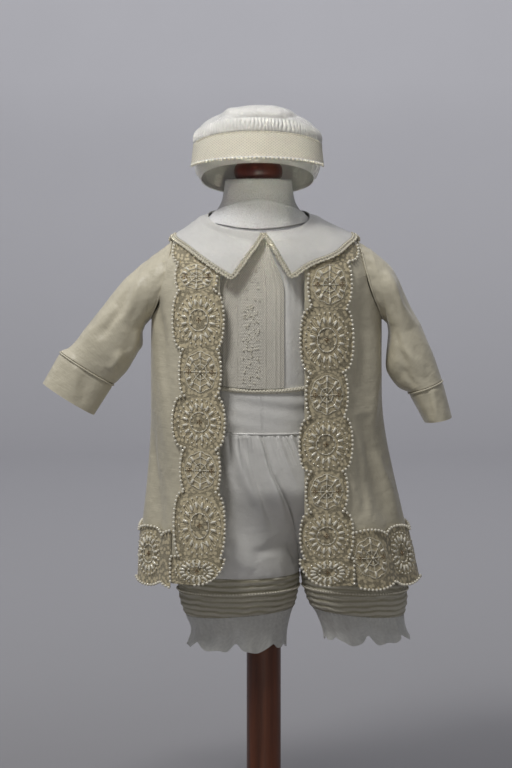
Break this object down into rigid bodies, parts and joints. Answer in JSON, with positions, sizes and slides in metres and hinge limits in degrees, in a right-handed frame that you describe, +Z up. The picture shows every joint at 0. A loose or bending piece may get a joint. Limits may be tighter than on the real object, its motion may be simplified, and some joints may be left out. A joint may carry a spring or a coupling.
{
  "type": "christening suit on dress form",
  "caption": "Baby's christening suit in ivory satin and silk with beaded lace: open coat, one-piece and cap, worn by a limbless dress form on a wooden stand.",
  "frame": {"origin": "middle of the stand base's underside", "axes": "+Z up along the pole, -Y towards the front of the suit, +X to the right seen from the front"},
  "size_m": [0.448, 0.25, 0.8001],
  "materials": {
    "satin": "ivory white satin, soft sheen",
    "silk": "champagne slub silk, low sheen",
    "beaded_lace": "champagne corded lace with pearl beads",
    "cream_lace": "cream lace and braid",
    "organza": "sheer white organza",
    "jersey": "off-white jersey cover, matt",
    "dark_wood": "dark red-brown varnish",
    "stained_wood": "red-brown stain, straight grain"
  },
  "bodies": {
    "root": {"waistband": "satin", "bodice_front": "satin", "bodice_back": "satin", "knickers_left": "satin", "knickers_right": "satin", "collar_left": "satin", "collar_right": "satin", "cap_crown": "satin", "cap_gathers": "satin", "cap_brim_edge": "satin", "coat_back": "silk", "coat_front_left": "silk", "coat_front_right": "silk", "coat_sleeve_left": "silk", "coat_sleeve_right": "silk", "coat_cuff_left": "silk", "coat_cuff_right": "silk", "coat_lace_front_left": "beaded_lace", "coat_lace_front_right": "beaded_lace", "coat_lace_hem_left": "beaded_lace", "coat_lace_hem_right": "beaded_lace", "coat_lace_hem_back": "beaded_lace", "plastron": "cream_lace", "plastron_braid": "cream_lace", "leg_lace_left": "cream_lace", "leg_lace_right": "cream_lace", "collar_lace_left": "cream_lace", "collar_lace_right": "cream_lace", "cap_brim": "cream_lace", "leg_frill_left": "organza", "leg_frill_right": "organza", "form_torso": "jersey", "neck_knob": "dark_wood", "stand_base": "dark_wood", "stand_pole": "stained_wood"}
  },
  "joints": []
}
